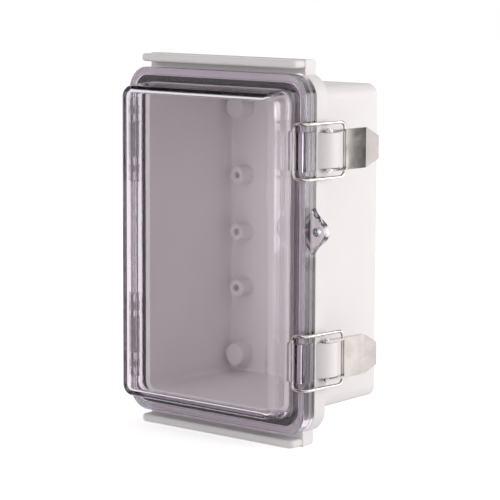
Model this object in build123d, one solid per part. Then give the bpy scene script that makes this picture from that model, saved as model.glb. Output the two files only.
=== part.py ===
from build123d import *
import math
import os

os.makedirs("parts", exist_ok=True)

# Hinged wall box with a clear domed cover and two draw latches.
# The origin is the middle of the back, on the wall. +Z is up and the cover faces -Y.
# "Out" is the distance from the wall towards the viewer, so out = -y.

# Driving sizes. The tub drives the rim, and the rim drives cover, hinge and latches.
overall_depth = 90.0
tub_width = 95.8
tub_height = 166.0
parting_out = 67.5
rim_depth = 8.8

# Rim of base and cover, which stands out past the tub
rim_reach = 11.6
rim_reach_tall = 7.0
rim_width = tub_width + 2 * rim_reach
rim_height = tub_height + 2 * rim_reach_tall
rim_shift = 1.8
rim_corner = 12.0
rim_right = rim_shift + rim_width / 2
rim_left = rim_shift - rim_width / 2
rim_front_out = parting_out + rim_depth
closing_gap = 0.3

# Tub
tub_corner = 7.0
tub_draft = 1.1
tub_back_round = 1.2
wall = 3.0
floor_out = 10.5
floor_wall = 3.0
floor_round = 1.5
cavity_width = tub_width - 2 * wall
cavity_height = tub_height - 8.0
cavity_corner = 4.5
cavity_draft = 2.0
lip_rise = 5.5
lip_height = tub_height - wall
cut = 1.0

# Hollow back with stiffening ribs
back_wall = 4.3
back_corner = 4.0
back_rib = 2.0
back_rib_pitch = 38.0

# Collar behind the cover rim, hollow from behind with ribs
collar_depth = 8.2
collar_out = parting_out - collar_depth
collar_face = 3.2
collar_skirt = 2.8
rib = 1.8
rib_pitch = 26.0

# Seal in the cover, pressed by a tongue on the collar
seal_width = 4.0
seal_shift = 0.75
seal_outer_width = rim_width - 7.1
seal_outer_height = rim_height - 8.0
seal_corner = 9.0
seal_lift = 1.2
tongue_width = 1.6
tongue_rise = seal_lift - closing_gap

# Clear cover
rim_plate = 2.8
rim_edge = 0.8
dome_width = rim_width - 14.0
dome_height = rim_height - 15.2
dome_corner = 7.5
dome_draft = 6.0
dome_wall = 2.6
dome_front = 2.8
dome_edge = 3.0
dome_inner_edge = 1.6
step_depth = 0.5

# Drip ledges over and under the cover rim
ledge_length = rim_width - 15.2
ledge_root = tub_height / 2 + 1.0
ledge_top = rim_height / 2 + 6.85
ledge_under = rim_height / 2 + 2.7
ledge_round = 2.2
ledge_end_round = 3.0
nose_round = 1.3
nose_set_in = 0.2

# Posts on the floor
plate_post_reach = 33.0
plate_post_pitch = 30.4
plate_post_radius = 4.4
plate_post_foot = 5.0
plate_screw = 1.8
plate_screw_depth = 6.0
wall_post_reach = 34.5
wall_post_height = 66.8
wall_post_radius = 5.8
wall_post_foot = 6.4
post_rise = 7.7
post_sink = 0.1
wall_screw = 2.2
wall_screw_depth = 14.0

# Hinge
hinge_x = rim_left - 2.5
hinge_out = parting_out + 1.9
hinge_height = 51.6
barrel = 3.6
barrel_gap = 0.3
hinge_pin = 1.5
running = 0.06
cover_knuckles = [(9.2, 13.6), (17.2, 21.8)]
web_root = 0.6
base_web_drop = 9.2

# Latches
latch_height = 52.4
pivot_x = rim_right + 2.5
pivot_out = parting_out - 6.3
bar_x = rim_right + 2.8
bar_out = pivot_out - 12.05
latch_pin = 1.2
wire = 0.85
sheet = 1.0
lug_half = 8.9
lug_x = rim_right - 4.9
lug_out = pivot_out - 2.9
lug_radius = 9.6
lug_back = 10.7
lug_clear = 0.4
lug_root_x = tub_width / 2 - 3.3
lug_reach = 26.0
lug_edge = 0.6
lug_skin = 2.4
pocket_width = 8.0
pocket_depth = 8.0
pocket_x = lug_x - 2.8
ear_gap = 0.2
ear_radius = 2.4
bail_half = 13.6
bail_bend = 3.0
bar_eye = 1.8
web_x = rim_right + 3.7
web_start_out = bar_out + 0.9
crease_out = bar_out - 15.05
tip_length = 7.4
tip_angle = 25.0
tip_half = 5.1
hook_x = rim_right - 6.5
hook_rest = 0.1
hook_gap = 0.15
hook_out = rim_front_out + wire + hook_rest
keeper_half = 9.7
keeper_rise = 2.0
keeper_reach = 1.2
keeper_edge = 1.6
keeper_start = 2.2
fence = 1.2

# Seal ear for a padlock or a wire seal
ear_height = 12.8
ear_hole_x = rim_right + 3.3
ear_hole = 2.2
ear_half = 15.0
ear_tip = 5.6
ear_plate = 3.6
ear_edge = 0.6
ear_flank_angle = 50.0
base_ear_plate = 2.4
base_ear_tip = 3.5
base_ear_half = ear_half - 3.0


def facing_out(out):
    return Plane.XZ.offset(out)


def facing_back(out):
    return Plane(origin=(0, -out, 0), x_dir=(1, 0, 0), z_dir=(0, 1, 0))


def rounded(width, height, corner, shift=0.0):
    return Pos(shift, 0) * RectangleRounded(width, height, corner)


def spanning(low_x, high_x, low_out, high_out):
    """A rectangle seen from above, given by its four sides."""
    middle = Pos((low_x + high_x) / 2, -(low_out + high_out) / 2)
    return middle * Rectangle(high_x - low_x, high_out - low_out)


def prism(sketch, out_low, out_high):
    """A straight block of the outline between two distances from the wall."""
    return extrude(facing_out(out_low) * sketch, amount=out_high - out_low)


def round_bar(x, out, radius, z_low, z_high):
    """An upright cylinder at a place seen from above."""
    return Pos(x, -out, (z_low + z_high) / 2) * Cylinder(radius, z_high - z_low)


def upright(sketch, z_low, z_high):
    """A block whose outline is drawn from above."""
    return extrude(Plane.XY.offset(z_low) * sketch, amount=z_high - z_low)


def post(x, z, foot, top, rise):
    """A slightly tapered post that stands on the tub floor."""
    spot = Plane(origin=(x, -(floor_out + rise / 2), z), z_dir=(0, -1, 0))
    return spot * Cone(foot, top, rise + 2 * post_sink)


def hole_out(x, z, radius, out_low, out_high):
    spot = Plane(origin=(x, -(out_low + out_high) / 2, z), z_dir=(0, -1, 0))
    return spot * Cylinder(radius, out_high - out_low)


def mirrored_spans(spans):
    return [span for low, high in spans for span in ((low, high), (-high, -low))]


def ear_outline(tip, half):
    """A tongue with hollow flanks that run smoothly into a round nose about the hole."""
    turn = math.radians(ear_flank_angle)
    root_x = rim_right - 1.0
    shoulder_x = ear_hole_x + tip * math.cos(turn)
    shoulder_z = tip * math.sin(turn)
    slope = (math.sin(turn), -math.cos(turn))
    back_slope = (-slope[0], slope[1])
    flank = Spline((root_x, half), (shoulder_x, shoulder_z), tangents=((0.1, -1.0), slope))
    nose = ThreePointArc((shoulder_x, shoulder_z), (ear_hole_x + tip, 0), (shoulder_x, -shoulder_z))
    back = Spline((shoulder_x, -shoulder_z), (root_x, -half), tangents=(back_slope, (-0.1, -1.0)))
    close = Line((root_x, -half), (root_x, half))
    return Pos(0, ear_height) * make_face([flank, nose, back, close])


# Base: tub, collar, ledges, posts, hinge barrels and latch lugs in one moulding
tub_outline = rounded(tub_width, tub_height, tub_corner)
tub = extrude(facing_back(collar_out) * tub_outline, amount=collar_out, taper=tub_draft)
tub = fillet(tub.faces().sort_by(Axis.Y)[-1].edges(), tub_back_round)
rim_outline = rounded(rim_width, rim_height, rim_corner, rim_shift)
collar = prism(rim_outline, collar_out, parting_out)
channel_outline = offset(rim_outline, -collar_skirt) - tub_outline
channel = prism(channel_outline, collar_out - cut, parting_out - collar_face)
for step in range(-3, 4):
    channel -= Pos(0, -collar_out, step * rib_pitch) * Box(2 * rim_width, 4 * collar_depth, rib)
for step in (-1, 0, 1):
    channel -= Pos(step * rib_pitch, -collar_out, 0) * Box(rib, 4 * collar_depth, 2 * rim_height)
collar -= channel
lip = prism(rounded(tub_width, lip_height, tub_corner), parting_out - cut, parting_out + lip_rise)
seal_outline = rounded(seal_outer_width, seal_outer_height, seal_corner, seal_shift)
tongue_inset = (seal_width - tongue_width) / 2
tongue_outline = offset(seal_outline, -tongue_inset)
tongue_outline -= offset(seal_outline, -tongue_inset - tongue_width)
tongue = prism(tongue_outline, parting_out - cut, parting_out + tongue_rise)
base = tub + collar + lip + tongue

nose_outline = Rectangle(
    ledge_length - 2 * nose_set_in, rim_depth + cut, align=(Align.CENTER, Align.MIN)
)
nose_outline = fillet(nose_outline.vertices().group_by(Axis.Y)[-1], ledge_end_round)
for side in (-1, 1):
    middle = Pos(rim_shift, side * (ledge_root + ledge_top) / 2)
    ledge = prism(middle * Rectangle(ledge_length, ledge_top - ledge_root), collar_out, parting_out)
    long_edges = ledge.edges().filter_by(Axis.X)
    back_edge = long_edges.sort_by(lambda e: side * e.center().Z + e.center().Y)[-1]
    ledge = fillet(back_edge, ledge_round)
    nose_spot = Plane(
        origin=(rim_shift, -parting_out + cut, side * ledge_under), x_dir=(1, 0, 0), z_dir=(0, 0, side)
    )
    nose_flip = nose_outline if side < 0 else mirror(nose_outline, Plane.XZ)
    bar = extrude(nose_spot * nose_flip, amount=ledge_top - nose_set_in - ledge_under)
    bar = fillet(bar.faces().sort_by(Axis.Y)[0].edges().filter_by(Axis.X), nose_round)
    base += ledge + bar

# Latch lugs with a coring pocket from behind
lug_low = pivot_out - lug_back
lug_high = parting_out - lug_clear
lug_sketch = Pos(lug_x, -lug_out) * Circle(lug_radius)
lug_sketch += spanning(lug_root_x, lug_x, lug_low, lug_high)
lug_sketch &= spanning(lug_root_x, lug_root_x + lug_reach, lug_low, lug_high)
lug_core = spanning(
    pocket_x - pocket_width / 2, pocket_x + pocket_width / 2, lug_low - cut, lug_low + pocket_depth
)
for side in (-1, 1):
    mid = side * latch_height
    lug = upright(lug_sketch, mid - lug_half, mid + lug_half)
    base += fillet(lug.edges().filter_by(GeomType.CIRCLE), lug_edge)
    base -= upright(lug_core, mid - lug_half + lug_skin, mid + lug_half - lug_skin)
    base -= round_bar(pivot_x, pivot_out, latch_pin, mid - lug_half - cut, mid + lug_half + cut)

# Ear on the base behind the cover's ear
base_ear = ear_outline(base_ear_tip, base_ear_half)
base += prism(base_ear, parting_out - base_ear_plate, parting_out)
base -= hole_out(ear_hole_x, ear_height, ear_hole, parting_out - 2 * base_ear_plate, parting_out + cut)

# Cavity, hollow back and floor posts
lip_out = parting_out + lip_rise
cavity_outline = rounded(cavity_width, cavity_height, cavity_corner)
cavity = extrude(facing_back(lip_out) * cavity_outline, amount=lip_out - floor_out, taper=cavity_draft)
base -= fillet(cavity.faces().sort_by(Axis.Y)[-1].edges(), floor_round)
recess_out = floor_out - floor_wall
recess_outline = rounded(tub_width - 2 * back_wall, tub_height - 2 * back_wall, back_corner)
recess = prism(recess_outline, -cut, recess_out)
recess -= Box(back_rib, 4 * floor_out, 2 * tub_height)
for step in (-1, 0, 1):
    recess -= Pos(0, 0, step * back_rib_pitch) * Box(2 * tub_width, 4 * floor_out, back_rib)
corners = [(x, z) for x in (-wall_post_reach, wall_post_reach) for z in (-wall_post_height, wall_post_height)]
for x, z in corners:
    recess -= hole_out(x, z, wall_post_foot, -2 * cut, recess_out + cut)
base -= recess
for x, z in corners:
    base += post(x, z, wall_post_foot, wall_post_radius, post_rise)
    base -= hole_out(x, z, wall_screw, -cut, wall_screw_depth)
post_top = floor_out + post_rise + post_sink
for x in (-plate_post_reach, plate_post_reach):
    for step in (-1, 0, 1):
        z = step * plate_post_pitch
        base += post(x, z, plate_post_foot, plate_post_radius, post_rise)
        base -= hole_out(x, z, plate_screw, post_top - plate_screw_depth, post_top + cut)

# Hinge: cover knuckles outside, base knuckles between them
knuckle_round = Pos(hinge_x, -hinge_out) * Circle(barrel)
relief_round = Pos(hinge_x, -hinge_out) * Circle(barrel + barrel_gap)
web_in_x = rim_left + web_root
base_web = make_face(Polyline([
    (hinge_x - 0.67 * barrel, -hinge_out + 0.72 * barrel),
    (web_in_x, -hinge_out + base_web_drop),
    (web_in_x, -parting_out),
    (hinge_x, -hinge_out),
], close=True))
cover_web = make_face(Polyline([
    (hinge_x - 0.64 * barrel, -hinge_out - 0.75 * barrel),
    (web_in_x, -rim_front_out + web_root),
    (web_in_x, -parting_out - closing_gap),
    (hinge_x, -hinge_out),
], close=True))
(inner_low, inner_high), (outer_low, outer_high) = cover_knuckles
base_spans = [(-inner_low + barrel_gap, inner_low - barrel_gap)]
base_spans += mirrored_spans([(inner_high + barrel_gap, outer_low - barrel_gap)])
cover_spans = mirrored_spans(cover_knuckles)

for side in (-1, 1):
    mid = side * hinge_height
    for low, high in cover_spans:
        base -= upright(relief_round, mid + low - barrel_gap, mid + high + barrel_gap)
    for low, high in base_spans:
        base += upright(knuckle_round + base_web, mid + low, mid + high)
    base -= round_bar(hinge_x, hinge_out, hinge_pin, mid - outer_high, mid + outer_high)

# Clear cover: rim, dome, knuckles, keepers and ear
plate_back = rim_front_out - rim_plate
cover = prism(rim_outline, parting_out + closing_gap, rim_front_out)
cover = fillet(cover.faces().sort_by(Axis.Y)[0].outer_wire().edges(), rim_edge)
dome_outline = rounded(dome_width, dome_height, dome_corner)
cover -= prism(seal_outline - dome_outline, rim_front_out - step_depth, rim_front_out + cut)
dome_depth = overall_depth - plate_back
dome = extrude(facing_out(plate_back) * dome_outline, amount=dome_depth, taper=dome_draft)
cover += fillet(dome.faces().sort_by(Axis.Y)[0].edges(), dome_edge)
hollow_width = dome_width - 2 * dome_wall
hollow_height = dome_height - 2 * dome_wall
hollow_outline = rounded(hollow_width, hollow_height, dome_corner - dome_wall)
hollow_start = facing_out(plate_back - cut)
hollow = extrude(hollow_start * hollow_outline, amount=dome_depth - dome_front + cut, taper=dome_draft)
cover -= fillet(hollow.faces().sort_by(Axis.Y)[0].edges(), dome_inner_edge)

keeper_in = hook_x + wire + hook_gap
keeper_sketch = spanning(
    keeper_in, rim_right + keeper_reach, parting_out + keeper_start, rim_front_out + keeper_rise
)
keeper_sketch = chamfer(keeper_sketch.vertices().sort_by(lambda v: v.X - v.Y)[-1], keeper_edge)
fence_in = dome_width / 2 - lug_clear
fence_sketch = spanning(
    fence_in, fence_in + fence, rim_front_out - step_depth - 0.2, rim_front_out + keeper_rise
)
for side in (-1, 1):
    mid = side * latch_height
    cover += upright(keeper_sketch + fence_sketch, mid - keeper_half, mid + keeper_half)
    mid = side * hinge_height
    for low, high in base_spans:
        cover -= upright(relief_round, mid + low - barrel_gap, mid + high + barrel_gap)
    for low, high in cover_spans:
        cover += upright(knuckle_round + cover_web, mid + low, mid + high)
    bore = hinge_pin + running
    cover -= round_bar(hinge_x, hinge_out, bore, mid - outer_high - cut, mid + outer_high + cut)
cover -= prism(seal_outline, parting_out, plate_back)
ear_back = parting_out + closing_gap
ear = prism(ear_outline(ear_tip, ear_half), ear_back, ear_back + ear_plate)
ear = chamfer(ear.faces().sort_by(Axis.Y)[0].edges().sort_by(Axis.X)[1:], ear_edge)
cover += ear
cover -= hole_out(ear_hole_x, ear_height, ear_hole, ear_back - cut, ear_back + 2 * ear_plate)

# Seal ring
seal_ring = seal_outline - offset(seal_outline, -seal_width)
seal = prism(seal_ring, parting_out + seal_lift, plate_back)

# Latch lever, drawn from above and pressed from sheet
ear_low = lug_half + ear_gap
ear_high = ear_low + sheet
web_out_x = web_x + sheet
tip_rad = math.radians(tip_angle)
tip_in = (web_x + tip_length * math.sin(tip_rad), -crease_out + tip_length * math.cos(tip_rad))
normal = (sheet * math.cos(tip_rad), -sheet * math.sin(tip_rad))
web_sketch = make_face(Polyline([
    (web_x, -web_start_out),
    (web_x, -crease_out),
    tip_in,
    (tip_in[0] + normal[0], tip_in[1] + normal[1]),
    (web_out_x, -crease_out - sheet * math.tan(tip_rad / 2)),
    (web_out_x, -web_start_out),
], close=True))
side_sketch = make_hull([
    *(Pos(pivot_x, -pivot_out) * Circle(ear_radius)).edges(),
    *(Pos(bar_x, -bar_out) * Circle(bar_eye)).edges(),
])
side_sketch += make_face(Polyline([
    (bar_x - 0.9 * bar_eye, -bar_out - 0.8),
    (web_x - 1.2, -crease_out),
    (web_out_x, -crease_out),
    (web_out_x, -web_start_out),
    (bar_x + 1.0, -bar_out - 1.5),
], close=True))
tip_trim = make_face(Polyline([
    (-crease_out, ear_high),
    (-crease_out + tip_length, tip_half),
    (-crease_out + tip_length, 2 * ear_high),
    (-crease_out, 2 * ear_high),
], close=True))
tip_cut = extrude(Plane.YZ.offset(web_x - 3 * sheet) * tip_trim, amount=2 * tip_length)


def make_lever(mid):
    lever = upright(web_sketch, -ear_high, ear_high)
    for low in (ear_low, -ear_high):
        lever += upright(side_sketch, low, low + sheet)
    lever -= tip_cut
    lever -= mirror(tip_cut, Plane.XY)
    lever -= round_bar(pivot_x, pivot_out, latch_pin + running, -2 * ear_high, 2 * ear_high)
    lever -= round_bar(bar_x, bar_out, wire + running, -2 * ear_high, 2 * ear_high)
    return Pos(0, 0, mid) * lever


def rounded_loop(corners, radius):
    """A closed wire through the corners, each rounded with an arc."""
    arcs = []
    for index, corner in enumerate(corners):
        here = Vector(corner)
        to_last = (Vector(corners[index - 1]) - here).normalized()
        to_next = (Vector(corners[(index + 1) % len(corners)]) - here).normalized()
        half = math.radians(to_last.get_angle(to_next)) / 2
        inward = (to_last + to_next).normalized()
        reach = radius / math.tan(half)
        middle = here + inward * (radius / math.sin(half) - radius)
        arcs.append(ThreePointArc(here + to_last * reach, middle, here + to_next * reach))
    lines = [Line(arcs[index - 1] @ 1, arc @ 0) for index, arc in enumerate(arcs)]
    return Wire([edge for pair in zip(lines, arcs) for edge in pair])


def make_bail(mid):
    corner_x = rim_right + 2 * wire
    half_loop = [(hook_x, -hook_out), (corner_x, -hook_out), (bar_x, -bar_out)]
    corners = [(x, y, bail_half) for x, y in half_loop]
    corners += [(x, y, -bail_half) for x, y in reversed(half_loop)]
    route = rounded_loop(corners, bail_bend)
    section = Plane(origin=route @ 0, z_dir=route % 0) * Circle(wire)
    return Pos(0, 0, mid) * sweep(section, path=route)


export_step(base, "parts/base_tray.step")
export_step(cover, "parts/clear_cover.step")
export_step(seal, "parts/cover_seal.step")
for name, side in (("upper", 1), ("lower", -1)):
    mid = side * latch_height
    export_step(make_lever(mid), f"parts/{name}_latch_lever.step")
    export_step(make_bail(mid), f"parts/{name}_latch_bail.step")
    pin_half = ear_high + 0.8
    pin = round_bar(pivot_x, pivot_out, latch_pin, mid - pin_half, mid + pin_half)
    export_step(pin, f"parts/{name}_latch_pin.step")
    mid = side * hinge_height
    pin = round_bar(hinge_x, hinge_out, hinge_pin, mid - outer_high, mid + outer_high)
    export_step(pin, f"parts/{name}_hinge_pin.step")
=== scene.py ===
# %% [markdown]
# # A wall box with a clear domed cover
# This lesson dresses a hinged plastic enclosure: a pale moulded base, a smoked clear cover, a dark
# rubber seal and two draw latches bent from stainless wire and sheet. The shapes come finished
# from the CAD model, so most of the work is in the finishes and the light.

# %% Load the CAD frame
import math

import bmesh
import bpy
from mathutils import Matrix, Vector


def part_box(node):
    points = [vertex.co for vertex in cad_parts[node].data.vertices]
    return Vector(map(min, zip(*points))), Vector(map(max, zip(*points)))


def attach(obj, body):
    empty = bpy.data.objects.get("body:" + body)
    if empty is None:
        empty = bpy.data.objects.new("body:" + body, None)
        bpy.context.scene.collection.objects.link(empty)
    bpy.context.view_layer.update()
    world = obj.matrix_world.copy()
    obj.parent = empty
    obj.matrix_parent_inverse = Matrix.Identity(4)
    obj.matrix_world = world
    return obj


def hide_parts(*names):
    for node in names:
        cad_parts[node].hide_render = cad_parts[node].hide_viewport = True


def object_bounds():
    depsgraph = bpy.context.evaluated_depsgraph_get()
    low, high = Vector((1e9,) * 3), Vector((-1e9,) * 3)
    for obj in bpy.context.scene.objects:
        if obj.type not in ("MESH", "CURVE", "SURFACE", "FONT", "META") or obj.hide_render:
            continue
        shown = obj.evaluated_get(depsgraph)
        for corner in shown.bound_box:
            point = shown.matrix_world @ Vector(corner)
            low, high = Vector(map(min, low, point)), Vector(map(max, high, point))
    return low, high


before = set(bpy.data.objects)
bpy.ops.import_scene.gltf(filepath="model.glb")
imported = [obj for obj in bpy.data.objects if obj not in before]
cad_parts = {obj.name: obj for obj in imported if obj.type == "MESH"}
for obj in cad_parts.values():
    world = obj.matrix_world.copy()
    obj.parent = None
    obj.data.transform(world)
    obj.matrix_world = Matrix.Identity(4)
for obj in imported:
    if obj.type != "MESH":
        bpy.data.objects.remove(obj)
cad_low, cad_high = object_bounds()
print("CAD box:", [round(v, 4) for v in (*cad_low, *cad_high)])

# %% [markdown]
# ## Shader maths in plain signs
# A finish is a small network of nodes. Writing each Math node by hand hides the idea, so this
# class wraps an output socket and lets plus, minus and times write those nodes. Each sign has its
# reflected form too, so a plain number may stand on the left, as in 1 - mask.

# %% Maths on a socket


class Signal:
    """An output socket. Plus, minus and times on it each add a Math node."""

    def __init__(self, finish, socket):
        self.finish, self.socket = finish, socket

    def maths(self, operation, first, second):
        return self.finish.add("ShaderNodeMath", {"operation": operation}, {0: first, 1: second})

    def __add__(self, other):
        return self.maths("ADD", self, other)

    def __radd__(self, other):
        return self.maths("ADD", other, self)

    def __sub__(self, other):
        return self.maths("SUBTRACT", self, other)

    def __rsub__(self, other):
        return self.maths("SUBTRACT", other, self)

    def __mul__(self, other):
        return self.maths("MULTIPLY", self, other)

    def __rmul__(self, other):
        return self.maths("MULTIPLY", other, self)

    def larger(self, other):
        return self.maths("MAXIMUM", self, other)


# %% [markdown]
# ## One method for every other node
# The second class holds the network of a material or of the world. Its first method makes a node
# of any type, sets it up and joins its sockets. The methods after it are the nodes that several
# finishes share: noise, a stretched range, mixes, a bump and rounded edges.

# %% Node network
EVENLY = (1.0, 1.0, 1.0)
EDGE_SAMPLES = 8
# Where a Mix node keeps its two colours and gives the mixed one
COLOUR_A, COLOUR_B, COLOUR_OUT = 6, 7, 2


class Finish:
    """The node network of a material, or of the world."""

    def __init__(self, name, collection=bpy.data.materials):
        self.owner = collection.new(name)
        self.owner.use_nodes = True
        self.nodes = self.owner.node_tree.nodes
        self.links = self.owner.node_tree.links
        self.nodes.clear()

    def add(self, kind, settings, sockets, out=0):
        """Adds a node: its settings come first, then the value or link of each socket."""
        node = self.nodes.new(kind)
        for name, value in settings.items():
            setattr(node, name, value)
        for name, value in sockets.items():
            if isinstance(value, Signal):
                self.links.new(value.socket, node.inputs[name])
            else:
                node.inputs[name].default_value = value
        return Signal(self, node.outputs[out]) if len(node.outputs) else None

    def noise(self, scale, detail, stretch=EVENLY):
        """Soft random values from 0 to 1, with so many blots to the metre."""
        place = self.add("ShaderNodeTexCoord", {}, {}, out="Object")
        where = self.add("ShaderNodeMapping", {}, {"Vector": place, "Scale": stretch})
        sockets = {"Vector": where, "Scale": scale, "Detail": detail}
        return self.add("ShaderNodeTexNoise", {}, sockets)

    def between(self, value, low, high):
        """Stretches the part of a value from low to high over 0 to 1, and clips the rest."""
        sockets = {"Value": value, "From Min": low, "From Max": high}
        return self.add("ShaderNodeMapRange", {"clamp": True}, sockets)

    def colours(self, share, first, second):
        """A colour that runs from the first to the second."""
        sockets = {0: share, COLOUR_A: (*first, 1), COLOUR_B: (*second, 1)}
        return self.add("ShaderNodeMix", {"data_type": "RGBA"}, sockets, out=COLOUR_OUT)

    def shaders(self, share, first, second):
        """A surface that runs from the first shader to the second."""
        return self.add("ShaderNodeMixShader", {}, {0: share, 1: first, 2: second})

    def bump(self, height, distance, strength, normal=None):
        """A normal that leans with a height, on top of another normal if there is one."""
        sockets = {"Height": height, "Distance": distance, "Strength": strength}
        if normal is not None:
            sockets["Normal"] = normal
        return self.add("ShaderNodeBump", {}, sockets)

    def soft_edges(self, radius):
        """A normal that rounds the sharp edges of a solid, as its mould would."""
        return self.add("ShaderNodeBevel", {"samples": EDGE_SAMPLES}, {"Radius": radius})

    def close(self, sockets, kind="ShaderNodeOutputMaterial"):
        """Ends the network in its output node."""
        self.add(kind, {}, sockets)
        print("finish:", self.owner.name, "with", len(self.nodes), "nodes")
        return self.owner


# %% [markdown]
# ## The camera
# The picture looks at the box from its latch side and a little from above. The place, the turn and
# the long lens were worked out from the corners of the rim, dome and ledges. A long lens from over
# a metre away keeps the uprights nearly parallel.

# %% Camera
CAMERA_PLACE = (0.77628, -0.93954, 0.15481)
CAMERA_TURN, CAMERA_TILT, CAMERA_ROLL = 40.998, 82.345, 0.240
LENS_MM, SENSOR_MM = 166.006, 36.0
NEAREST, FARTHEST = 0.05, 30.0


def add_object(name, data):
    thing = bpy.data.objects.new(name, data)
    bpy.context.scene.collection.objects.link(thing)
    return thing


def turned(degrees, axis):
    return Matrix.Rotation(math.radians(degrees), 4, axis)


camera_data = bpy.data.cameras.new("camera")
camera_data.lens = LENS_MM
camera_data.sensor_width = SENSOR_MM
camera_data.clip_start, camera_data.clip_end = NEAREST, FARTHEST
camera = add_object("camera", camera_data)
camera_turn = turned(CAMERA_TURN, "Z") @ turned(CAMERA_TILT, "X") @ turned(CAMERA_ROLL, "Z")
camera.matrix_world = Matrix.Translation(CAMERA_PLACE) @ camera_turn
bpy.context.scene.camera = camera
print("camera at", CAMERA_PLACE, "with a", LENS_MM, "mm lens")

# %% [markdown]
# ## The even light of a white tent
# A product like this is shot in a white tent. The world could be plain white, but then its light
# would wash the shadows out. So it lights the box with a weaker, slightly warm white, and only
# what the camera, polished wire and clear plastic see of it is plain white.

# %% World
TENT_LIGHT = 0.58
TENT_TINT = (1.0, 0.965, 0.96)
WHITE = (1.0, 1.0, 1.0)


def seen_directly(finish):
    """1 for rays from the camera, from gloss and through clear plastic, and 0 for plain light."""
    seen = finish.add("ShaderNodeLightPath", {}, {}, out="Is Camera Ray")
    for ray in ("Is Glossy Ray", "Is Transmission Ray"):
        seen = seen.larger(finish.add("ShaderNodeLightPath", {}, {}, out=ray))
    return seen


sky = Finish("tent", bpy.data.worlds)
seen = seen_directly(sky)
strength = 1.0 - (1.0 - TENT_LIGHT) * (1.0 - seen)
tint = sky.colours(seen, TENT_TINT, WHITE)
tent = sky.add("ShaderNodeBackground", {}, {"Color": tint, "Strength": strength})
bpy.context.scene.world = sky.close({"Surface": tent}, "ShaderNodeOutputWorld")
bpy.context.scene.view_settings.view_transform = "Standard"

# %% [markdown]
# ## Lamps
# The tent has one large soft lamp on the latch side. It stands behind the rim, so it brightens the
# side wall and doesn't reach into the box. A weaker lamp in front on the hinge side fills the
# inside, and the rim keeps it off the latch lugs. A near lamp behind shows as a bright strip in
# the side of the dome and rim.

# %% Lamps
# Each lamp has its place, its size in metres and its power in watts, and faces the origin
LAMPS = {
    "key": ((1.38, 0.70, 0.38), 0.9, 7.6),
    "fill": ((-0.56, -1.44, 0.40), 0.9, 4.1),
    "strip": ((0.42, 0.42, 0.10), 0.38, 1.0),
}


def stand(thing, place, direction):
    """Puts a thing at a place, with its own Z axis along a direction."""
    turn = Vector(direction).to_track_quat("Z", "Y").to_matrix().to_4x4()
    thing.matrix_world = Matrix.Translation(place) @ turn


for name, (place, size, watts) in LAMPS.items():
    lamp_data = bpy.data.lights.new(name, "AREA")
    lamp_data.shape = "SQUARE"
    lamp_data.size = size
    lamp_data.energy = watts
    # A lamp shines against its own Z axis, so the axis points away from the origin
    stand(add_object(name, lamp_data), place, place)
print("lamps:", ", ".join(LAMPS))

# %% [markdown]
# ## Floor
# The box stands on white paper that goes over into a white background. Paper alone comes out grey,
# and paper that shines would light the box from below. So it shines only for rays that see it
# directly, and as the shine is added to the lit paper, it keeps its shadow.

# %% Floor
FLOOR_REACH = 4.0
FLOOR_SQUARES = 8
PAPER = (0.9, 0.9, 0.9)
PAPER_GLOW = 0.55

floor_mesh = bpy.data.meshes.new("floor")
shaper = bmesh.new()
bmesh.ops.create_grid(
    shaper, x_segments=FLOOR_SQUARES, y_segments=FLOOR_SQUARES, size=FLOOR_REACH
)
shaper.to_mesh(floor_mesh)
shaper.free()
floor = add_object("floor", floor_mesh)
floor.location.z = cad_low.z

paper = Finish("white_paper")
lit = paper.add("ShaderNodeBsdfDiffuse", {}, {"Color": (*PAPER, 1)})
glow = paper.add("ShaderNodeEmission", {}, {"Color": (*WHITE, 1), "Strength": PAPER_GLOW})
bright = paper.add("ShaderNodeAddShader", {}, {0: lit, 1: glow})
floor_mesh.materials.append(
    paper.close({"Surface": paper.shaders(seen_directly(paper), lit, bright)})
)
print("floor at", round(cad_low.z, 4))

# %% [markdown]
# ## Black flags
# Clear plastic and polished steel show whatever stands in the direction that they mirror. In the
# picture the front of the box and the upper lever mirror something dark. A photographer gets this
# with black cards, called flags, which stand out of the camera's view. They are seen in
# reflections only, so they take no light away from the box.

# %% Black flags
# Each flag has its middle, the point that it faces, and its width and height
FLAGS = {
    "front_flag": ((-0.80, -0.98, 0.30), (0.0, -0.08, 0.30), 1.50, 1.00),
    "floor_flag": ((-0.40, -0.58, -0.0955), (-0.40, -0.58, 1.0), 1.00, 0.98),
    "roof_flag": ((-0.68, -0.12, 0.86), (0.0, 0.0, 0.0), 1.00, 1.00),
    "latch_flag": ((0.147, 0.099, 0.075), (0.068, -0.041, 0.052), 0.066, 0.160),
}
VELVET = (0.03, 0.03, 0.03)


def make_flag(name, middle, faces, width, height, material):
    mesh = bpy.data.meshes.new(name)
    corners = ((-1, -1), (1, -1), (1, 1), (-1, 1))
    points = [(x * width / 2, y * height / 2, 0.0) for x, y in corners]
    mesh.from_pydata(points, [], [range(len(points))])
    mesh.materials.append(material)
    flag = add_object(name, mesh)
    stand(flag, middle, Vector(faces) - Vector(middle))
    flag.visible_camera = False
    flag.visible_diffuse = False
    flag.visible_transmission = False
    flag.visible_shadow = False


velvet = Finish("black_velvet")
cloth = velvet.close({"Surface": velvet.add("ShaderNodeBsdfDiffuse", {}, {"Color": (*VELVET, 1)})})
for name, (middle, faces, width, height) in FLAGS.items():
    make_flag(name, middle, faces, width, height, cloth)
print("flags:", ", ".join(FLAGS))

# %% [markdown]
# ## Rubber seal
# The seal is a soft brown-black rubber. Rubber is nearly matt with a dusty bloom, and its skin has
# tiny pores. One noise could give both, but they differ in size: a coarse noise gives the bloom and
# a very fine one the pores.

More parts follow.
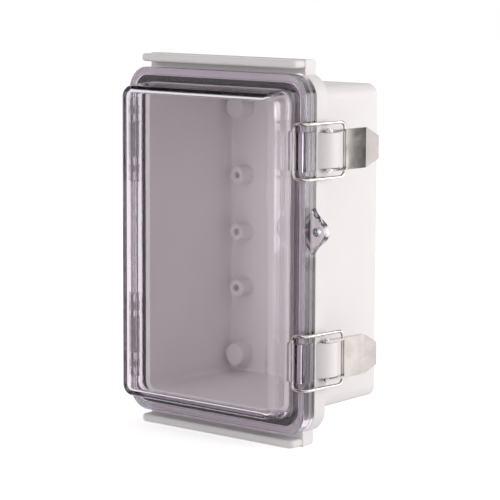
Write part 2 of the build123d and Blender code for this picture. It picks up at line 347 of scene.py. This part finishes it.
# %% Seal rubber
RUBBER_DARK, RUBBER_BLOOM = (0.010, 0.005, 0.008), (0.026, 0.016, 0.021)
RUBBER_ROUGH, BLOOM_ROUGH = 0.62, 0.2
RUBBER_SHINE = 0.25
PORE_DEPTH = 0.00006


def dark_rubber():
    finish = Finish("dark_seal_rubber")
    bloom = finish.between(finish.noise(scale=120.0, detail=4.0), low=0.35, high=0.75)
    pores = finish.noise(scale=3200.0, detail=1.0)
    sockets = {
        "Base Color": finish.colours(bloom, RUBBER_DARK, RUBBER_BLOOM),
        "Roughness": RUBBER_ROUGH + bloom * BLOOM_ROUGH,
        "Specular IOR Level": RUBBER_SHINE,
        "Normal": finish.bump(pores, distance=PORE_DEPTH, strength=0.5),
    }
    return finish.close({"Surface": finish.add("ShaderNodeBsdfPrincipled", {}, sockets)})


rubber = dark_rubber()

# %% [markdown]
# ## The section of the seal
# The real seal is a soft cord of rubber, pressed into the cover's groove. Its front lies flat in
# the groove and its back is crowned, where the tongue of the base sinks in. The CAD model has a
# plain rectangular ring here, which gives the place and size. The section is drawn once, with two
# small rounds in front and half an oval at the back.

# %% Seal section
SEAL_WIDTH = 0.0040
# How far the rubber stays inside the CAD ring
SEAL_SKIN = 0.00005
LIP_ROUND = 0.0005
CROWN_RISE = 0.0009
CROWN_STEPS = 10

seal_low, seal_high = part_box("cover_seal")


def seal_section():
    """Points across the rubber as (inwards from the outer side, towards the wall)."""
    depth = seal_high.y - seal_low.y
    inner = SEAL_WIDTH - SEAL_SKIN
    points = [(SEAL_SKIN, LIP_ROUND), (LIP_ROUND, SEAL_SKIN)]
    points += [(inner - LIP_ROUND, SEAL_SKIN), (inner, LIP_ROUND)]
    for step in range(CROWN_STEPS + 1):
        turn = math.pi * step / CROWN_STEPS
        across = SEAL_WIDTH / 2 + (SEAL_WIDTH / 2 - SEAL_SKIN) * math.cos(turn)
        points.append((across, depth - CROWN_RISE + (CROWN_RISE - SEAL_SKIN) * math.sin(turn)))
    return points


section = seal_section()
print("seal section with", len(section), "points")

# %% [markdown]
# ## The route of the seal
# The seal runs round a rectangle with rounded corners. A curve with a bevel object could sweep the
# section too, but its twist is hard to steer. Here each point of the route says which way leads
# inwards.

# %% Seal route
SEAL_CORNER = 0.0090
CORNER_STEPS = 14


def seal_route():
    """Corner arcs round the outer outline, each point with the direction that leads inwards."""
    stations = []
    for quarter in range(4):
        centre_x = seal_high.x - SEAL_CORNER if quarter in (0, 3) else seal_low.x + SEAL_CORNER
        centre_z = seal_high.z - SEAL_CORNER if quarter in (0, 1) else seal_low.z + SEAL_CORNER
        for step in range(CORNER_STEPS + 1):
            turn = math.pi / 2 * (quarter + step / CORNER_STEPS)
            across, up = math.cos(turn), math.sin(turn)
            place = Vector((centre_x + SEAL_CORNER * across, 0.0, centre_z + SEAL_CORNER * up))
            stations.append((place, Vector((-across, 0.0, -up))))
    return stations


route = seal_route()
print("seal route with", len(route), "stations")

# %% [markdown]
# ## The rubber ring
# The section stands at each station of the route, and faces join it to the next one, all the way
# round. The ring takes the place of the CAD ring and turns with the cover.

# %% Seal ring


def make_seal(material):
    shaper = bmesh.new()
    rings = []
    for place, inward in route:
        ring = []
        for into, back in section:
            along_y = Vector((0.0, seal_low.y + back, 0.0))
            ring.append(shaper.verts.new(place + inward * into + along_y))
        rings.append(ring)
    for ring, following in zip(rings, rings[1:] + rings[:1]):
        for index in range(len(ring)):
            beside = (index + 1) % len(ring)
            shaper.faces.new((ring[index], ring[beside], following[beside], following[index]))
    bmesh.ops.recalc_face_normals(shaper, faces=shaper.faces)
    for face in shaper.faces:
        face.smooth = True
    mesh = bpy.data.meshes.new("rubber_seal")
    shaper.to_mesh(mesh)
    shaper.free()
    mesh.materials.append(material)
    seal = add_object("rubber_seal", mesh)
    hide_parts("cover_seal")
    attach(seal, "cover")
    return seal


rubber_seal = make_seal(rubber)
print("seal ring with", len(rubber_seal.data.vertices), "points")

# %% [markdown]
# ## Pale moulded plastic
# The base is one thick moulding in a warm pale grey. Its skin is satin: the steel of the mould
# leaves a very fine grain, and the shine changes slowly from place to place where the plastic
# cooled at different rates. Fine noise drives a bump, slower noise drives colour and roughness,
# and the peaks of one more noise give a few darker specks.

# %% Base plastic
BASE_PALE, BASE_DEEP = (0.805, 0.78, 0.775), (0.76, 0.735, 0.73)
SPECK_SHARE = 0.4
BASE_ROUGH, FLOW_ROUGH, GRAIN_ROUGH = 0.40, 0.12, 0.05
BASE_IOR = 1.52
BASE_EDGE = 0.0004
GRAIN_DEPTH, RIPPLE_DEPTH = 0.00004, 0.0004


def pale_plastic():
    finish = Finish("moulded_pale_plastic")
    slow = finish.between(finish.noise(scale=26.0, detail=2.0), low=0.3, high=0.7)
    specks = finish.between(finish.noise(scale=700.0, detail=0.0), low=0.80, high=0.84)
    deep = slow * (1.0 - SPECK_SHARE) + specks * SPECK_SHARE
    grain = finish.noise(scale=2600.0, detail=2.0)
    flow = finish.noise(scale=90.0, detail=4.0, stretch=(1.0, 1.0, 0.25))
    swell = finish.noise(scale=55.0, detail=1.0)
    edge = finish.soft_edges(BASE_EDGE)
    skin = finish.bump(grain, distance=GRAIN_DEPTH, strength=0.35, normal=edge)
    sockets = {
        "Base Color": finish.colours(deep, BASE_PALE, BASE_DEEP),
        "Roughness": BASE_ROUGH + flow * FLOW_ROUGH + grain * GRAIN_ROUGH,
        "Normal": finish.bump(swell, distance=RIPPLE_DEPTH, strength=0.12, normal=skin),
        "IOR": BASE_IOR,
    }
    return finish.close({"Surface": finish.add("ShaderNodeBsdfPrincipled", {}, sockets)})


base_finish = pale_plastic()

# %% [markdown]
# ## Smoked clear plastic
# The cover is clear polycarbonate with a slight violet smoke in its whole thickness, so its thin
# walls look pale and its thick rim looks dark. A volume that absorbs light does this by itself.
# Glass in a path tracer blocks lamps, so rays that look for a lamp meet a tinted transparent
# surface, and daylight reaches the inside of the box.

# %% Clear plastic
SMOKE, SMOKE_DENSITY = (0.66, 0.59, 0.72), 50.0
COVER_TINT = (0.99, 0.965, 0.985)
COVER_SHADOW_TINT = (0.985, 0.95, 0.965)
COVER_ROUGH, HAZE_ROUGH = 0.015, 0.05
COVER_IOR = 1.585
COVER_EDGE = 0.0005
WAVE_DEPTH, RUB_DEPTH = 0.0006, 0.00002


def clear_plastic():
    finish = Finish("smoked_clear_plastic")
    haze = finish.noise(scale=60.0, detail=3.0)
    waves = finish.noise(scale=70.0, detail=1.0)
    rubs = finish.noise(scale=1800.0, detail=2.0, stretch=(1.0, 1.0, 0.2))
    edge = finish.soft_edges(COVER_EDGE)
    wavy = finish.bump(waves, distance=WAVE_DEPTH, strength=0.10, normal=edge)
    sockets = {
        "Base Color": (*COVER_TINT, 1),
        "Roughness": COVER_ROUGH + haze * HAZE_ROUGH,
        "IOR": COVER_IOR,
        "Transmission Weight": 1.0,
        "Normal": finish.bump(rubs, distance=RUB_DEPTH, strength=0.15, normal=wavy),
    }
    body = finish.add("ShaderNodeBsdfPrincipled", {}, sockets)
    open_way = finish.add("ShaderNodeBsdfTransparent", {}, {"Color": (*COVER_SHADOW_TINT, 1)})
    to_lamp = finish.add("ShaderNodeLightPath", {}, {}, out="Is Shadow Ray")
    density = {"Color": (*SMOKE, 1), "Density": SMOKE_DENSITY}
    smoke = finish.add("ShaderNodeVolumeAbsorption", {}, density)
    return finish.close({"Surface": finish.shaders(to_lamp, body, open_way), "Volume": smoke})


cover_finish = clear_plastic()

# %% [markdown]
# ## Stainless wire, sheet and pins
# The bails are polished wire, drawn through a die, so faint lines run along it. The levers are
# pressed from rolled sheet, duller, with a fine grain. The pins are turned and duller still. All
# three are one finish with different settings: noise stretched along the grain drives roughness,
# colour and bump. The colour is partly painted reflection. The warm dark end of each steel, and the
# light and dark streaks along the grain, stand in for dark, warm surroundings mirrored in the
# steel.
# The rest of the colour is the real tone of the grain.

# %% Stainless steel
# Each steel has its darkest and lightest colour, its least roughness, and its grain: how many lines
# to the metre, and how much they are squeezed along X, Y and Z, where less than 1 draws them out.
# The warm dark colours are partly a painted reflection of dark surroundings.
STEELS = {
    "drawn_wire": ((0.44, 0.38, 0.35), (0.76, 0.71, 0.68), 0.05, 900, (1, 1, 0.2)),
    "rolled_sheet": ((0.45, 0.42, 0.40), (0.62, 0.58, 0.56), 0.09, 1500, (1, 0.15, 1)),
    "turned_pin": ((0.48, 0.45, 0.42), (0.75, 0.72, 0.69), 0.20, 1200, (1, 1, 0.1)),
}
LINE_SHARE = 0.5
LINE_ROUGH, CLOUD_ROUGH = 0.06, 0.03
LINE_DEPTH = 0.000006


def stainless(name, dark, light, rough, grain, stretch):
    finish = Finish(name)
    lines = finish.noise(scale=grain, detail=3.0, stretch=stretch)
    cloud = finish.between(finish.noise(scale=140.0, detail=2.0), low=0.35, high=0.65)
    # Painted sheen: the grain lines and the cloud streak the colour, partly as real grain tone and
    # partly as painted reflection
    grain_tone_and_painted_sheen = lines * LINE_SHARE + cloud * (1.0 - LINE_SHARE)
    sockets = {
        "Base Color": finish.colours(grain_tone_and_painted_sheen, dark, light),
        "Metallic": 1.0,
        "Roughness": rough + lines * LINE_ROUGH + cloud * CLOUD_ROUGH,
        "Normal": finish.bump(lines, distance=LINE_DEPTH, strength=0.3),
    }
    return finish.close({"Surface": finish.add("ShaderNodeBsdfPrincipled", {}, sockets)})


steels = {name: stainless(name, *look) for name, look in STEELS.items()}

# %% [markdown]
# ## Finishes on the CAD nodes
# Everything but the seal keeps its CAD shape. Each node gets the finish of the stuff it is made
# of: the moulding, the clear cover, and three kinds of steel for wire, sheet and pins.

# %% Give each CAD node its finish
finishes = {"base_tray": base_finish, "clear_cover": cover_finish}
for level in ("upper", "lower"):
    finishes[f"{level}_hinge_pin"] = steels["turned_pin"]
    finishes[f"{level}_latch_pin"] = steels["turned_pin"]
    finishes[f"{level}_latch_lever"] = steels["rolled_sheet"]
    finishes[f"{level}_latch_bail"] = steels["drawn_wire"]
for name, material in finishes.items():
    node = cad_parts[name]
    node.data.materials.clear()
    node.data.materials.append(material)
    node.active_material_index = 0
print("finishes given to", len(finishes), "nodes")
